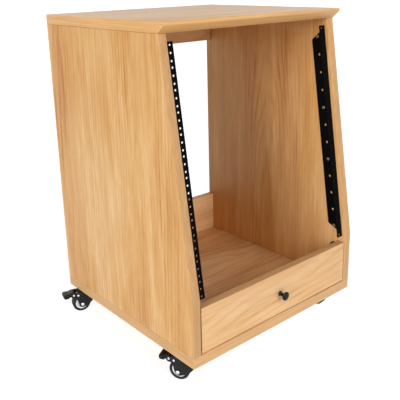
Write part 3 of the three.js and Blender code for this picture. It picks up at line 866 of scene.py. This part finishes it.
def cheek_outline():
    """The fork's cheek from the side: nose, landing round the axle, waist and rivet eye."""
    end = (AXLE[0] - 1.5, AXLE[1])
    waist = end[0] + 14
    foot = RIVET[1] - 8.5
    start = (-FORK_NOSE, -FORK_TOP - 15)
    landing = arc(end, 10.5, 240, 360)
    points = [(-FORK_NOSE, -FORK_TOP), start]
    points += curve(start, (AXLE[0] - 24, AXLE[1] - 5.25), landing[0], 14)
    points += landing
    points += [(waist, foot - 6)]
    points += curve((waist, foot - 6), (waist, foot), (RIVET[0], foot))
    points += arc((RIVET[0], RIVET[1] - 2), 6.5, 270, 360)
    points += [(RIVET[0] + 6.5, -FORK_TOP - FORK_SHEET), (RIVET[0] + 4.5, -FORK_TOP)]
    return points


def fork_shape():
    """A bent channel cut to the cheeks' outline and to the crown's plan, then slotted and bored."""
    bend, foot = 3.5, AXLE[1] - 14
    outer, inner, crown = FORK_HALF, FORK_HALF - FORK_SHEET, -FORK_TOP - FORK_SHEET
    section = [(-outer, foot), (-inner, foot), (-inner, crown), (inner, crown)]
    section += [(inner, foot), (outer, foot), (outer, -FORK_TOP), (-outer, -FORK_TOP)]
    radii = [0, 0, bend - FORK_SHEET, bend - FORK_SHEET, 0, 0, bend, bend]
    body = prism(rounded(section, radii), -60, 60, "Y")
    combine(body, prism(cheek_outline(), -PAST, PAST, "X"), "INTERSECT")
    plan = arc((0, 0), FORK_NOSE, 180, 360, 24) + [(FORK_NOSE, 56), (-FORK_NOSE, 56)]
    combine(body, prism(plan, -80, 5, "Z"), "INTERSECT")
    combine(body, prism(box(-inner, 37, inner, 70), -20.6, 5, "Z"), "DIFFERENCE")
    combine(body, rod(KINGPIN_BORE, -12, 2, RIVET_STEPS), "DIFFERENCE")
    for radius, spot in ((AXLE_BORE, AXLE), (RIVET_BORE, RIVET), (RIVET_BORE, SPACER)):
        cross_bored(body, radius, spot)
    return shade(soften(body, 0.45, 3), 40)


def capped_shape(radius, cap_radius, cap_height):
    """A pin across the fork with a domed cap on either cheek."""
    seat = FORK_HALF + 0.3
    dome = arc((0, 0), 1, 0, 90, 8)
    upper = [(cap_radius - 0.3, seat), (cap_radius, seat + 0.3)]
    for a, b in dome:
        upper.append((cap_radius * (0.45 + 0.55 * a), seat + cap_height * (0.45 + 0.55 * b)))
    upper.append((0, seat + cap_height))
    lower = [(a, -b) for a, b in reversed(upper)]
    profile = lower + [(radius, -seat), (radius, seat)] + upper
    return shade(turned_to_x(lathe(profile, RIVET_STEPS)), 50)


def tyre_shape():
    bore, outer, half = 17.3, 24, 10
    profile = rounded(box(bore, -half, outer, half), [0.6, 3, 3, 0.6], 6)
    return shade(turned_to_x(lathe(profile, WHEEL_STEPS, ring=True)), 50)


def hub_shape():
    """A rim with a deep dish on either side, and a boss round the axle."""
    rim, half, web, boss = 17, 8.5, 4.4, 12
    side = [(16.6, half), (13.5, half), (12.9, half - 0.5), (12.3, web), (8.4, web)]
    side += [(7.2, web + 0.6), (6.5, web + 2.0), (6.5, boss - 0.4), (6.1, boss)]
    side += [(AXLE_BORE, boss)]
    profile = [(rim, -half + 0.4), (rim, half - 0.4)] + side
    profile += [(a, -b) for a, b in reversed(side)]
    return shade(turned_to_x(lathe(profile, WHEEL_STEPS, ring=True)), 40)


def pedal_shape():
    """An eye on the brake rivet with the cam below it, a neck, and a hollow ribbed pad."""
    # Half widths of neck and pad, where the pad starts and ends, its thickness and its drop
    neck, pad, start, reach, sheet, drop = 12.4, 14, 59, 74, 3.4, 10.5
    eye, skirt, wall, corner = 6.4, 6.5, 2.4, 5
    top, foot, flare = sheet - drop, -drop - skirt, start + pad - neck
    side = [(RIVET[0], RIVET[1] - eye), (start - 2, -drop - 4), (start + 1, foot)]
    side += [(reach, foot), (reach, top), (start, top), (RIVET[0], RIVET[1] + eye)]
    outline = rounded(side, [0, 2, 3, 5, 4, 0, 0]) + arc(RIVET, eye, 90, 270)[1:-1]
    body = prism(outline, -pad, pad, "X")
    front = RIVET[0] - eye - 2
    plan = [(-neck, front), (neck, front), (neck, start), (pad, flare)]
    plan += [(pad, reach), (-pad, reach), (-pad, flare), (-neck, start)]
    radii = [0, 0, 2, 2, corner, corner, 2, 2]
    combine(body, prism(rounded(plan, radii), -80, PAST, "Z"), "INTERSECT")
    inside = rounded(box(wall - pad, start - 6, pad - wall, reach - wall), [0, 0, 3, 3])
    combine(body, prism(inside, -drop - PAST, -drop, "Z"), "DIFFERENCE")
    cam_reach, cam_end, cam_root = 12.2, 2.6, 3.2
    cam_foot = RIVET[1] - cam_reach + cam_end
    cam = [(RIVET[0] - cam_root, RIVET[1])]
    cam += arc((RIVET[0], cam_foot), cam_end, 180, 360)
    cam += [(RIVET[0] + cam_root, RIVET[1])]
    combine(body, prism(cam, -7, 7, "X"), "UNION")
    cross_bored(body, RIVET_BORE, RIVET)
    for y in (62.5, 66, 69.5):
        rib = rounded(box(-9.5, y - 0.6, 9.5, y + 0.6), [0.55] * 4, 4)
        combine(body, prism(rib, top - 1, top + 0.5, "Z"), "UNION")
    return shade(soften(body, 0.35), 40)


def make_casters(materials):
    rivet = capped_shape(2, 2.9, 1.4)
    # Shape, material, and the body that the piece rides on
    shapes = {
        "plate": (plate_shape(), "paint", "cabinet"),
        "kingpin": (kingpin_shape(), "zinc", "cabinet"),
        "fork": (fork_shape(), "paint", "swivel"),
        "axle": (moved(capped_shape(3, 4.8, 5), 0, *AXLE), "zinc", "swivel"),
        "brake_rivet": (moved(copied(rivet), 0, *RIVET), "zinc", "swivel"),
        "spacer_rivet": (moved(copied(rivet), 0, *SPACER), "zinc", "swivel"),
        "tyre": (moved(tyre_shape(), 0, *AXLE), "tyre", "wheel"),
        "hub": (moved(hub_shape(), 0, *AXLE), "hub", "wheel"),
        "brake_pedal": (pedal_shape(), "plastic", "brake"),
    }
    bpy.data.objects.remove(rivet)
    for corner, (x, y, turn) in CASTERS.items():
        fixed = at(x, y, 0)
        turned = fixed @ Matrix.Rotation(math.radians(turn), 4, "Z")
        for kind, (shape, material, body) in shapes.items():
            node = f"{corner}_caster_{kind}"
            place, rides_on = turned, f"{corner}_{body}"
            if body == "cabinet":
                place, rides_on = fixed, body
            name, look = node + "_smooth", materials[material]
            finished(copied(shape), name, look, rides_on, [node], place)
    for shape, *_ in shapes.values():
        bpy.data.objects.remove(shape)


# --- Scene ------------------------------------------------------------------------------------
# Solids that are shown as they are
PLAIN_PIECES = {
    "flap_strike_plate": "zinc",
    "left_pivot_pin": "zinc",
    "right_pivot_pin": "zinc",
    "flap_catch": "plastic",
}

materials = make_materials()
make_camera()
make_floor()
make_light()
dress_boards()
make_rails(materials)
make_knob(materials)
make_casters(materials)
for node, kind in PLAIN_PIECES.items():
    assign(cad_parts[node], materials[kind])
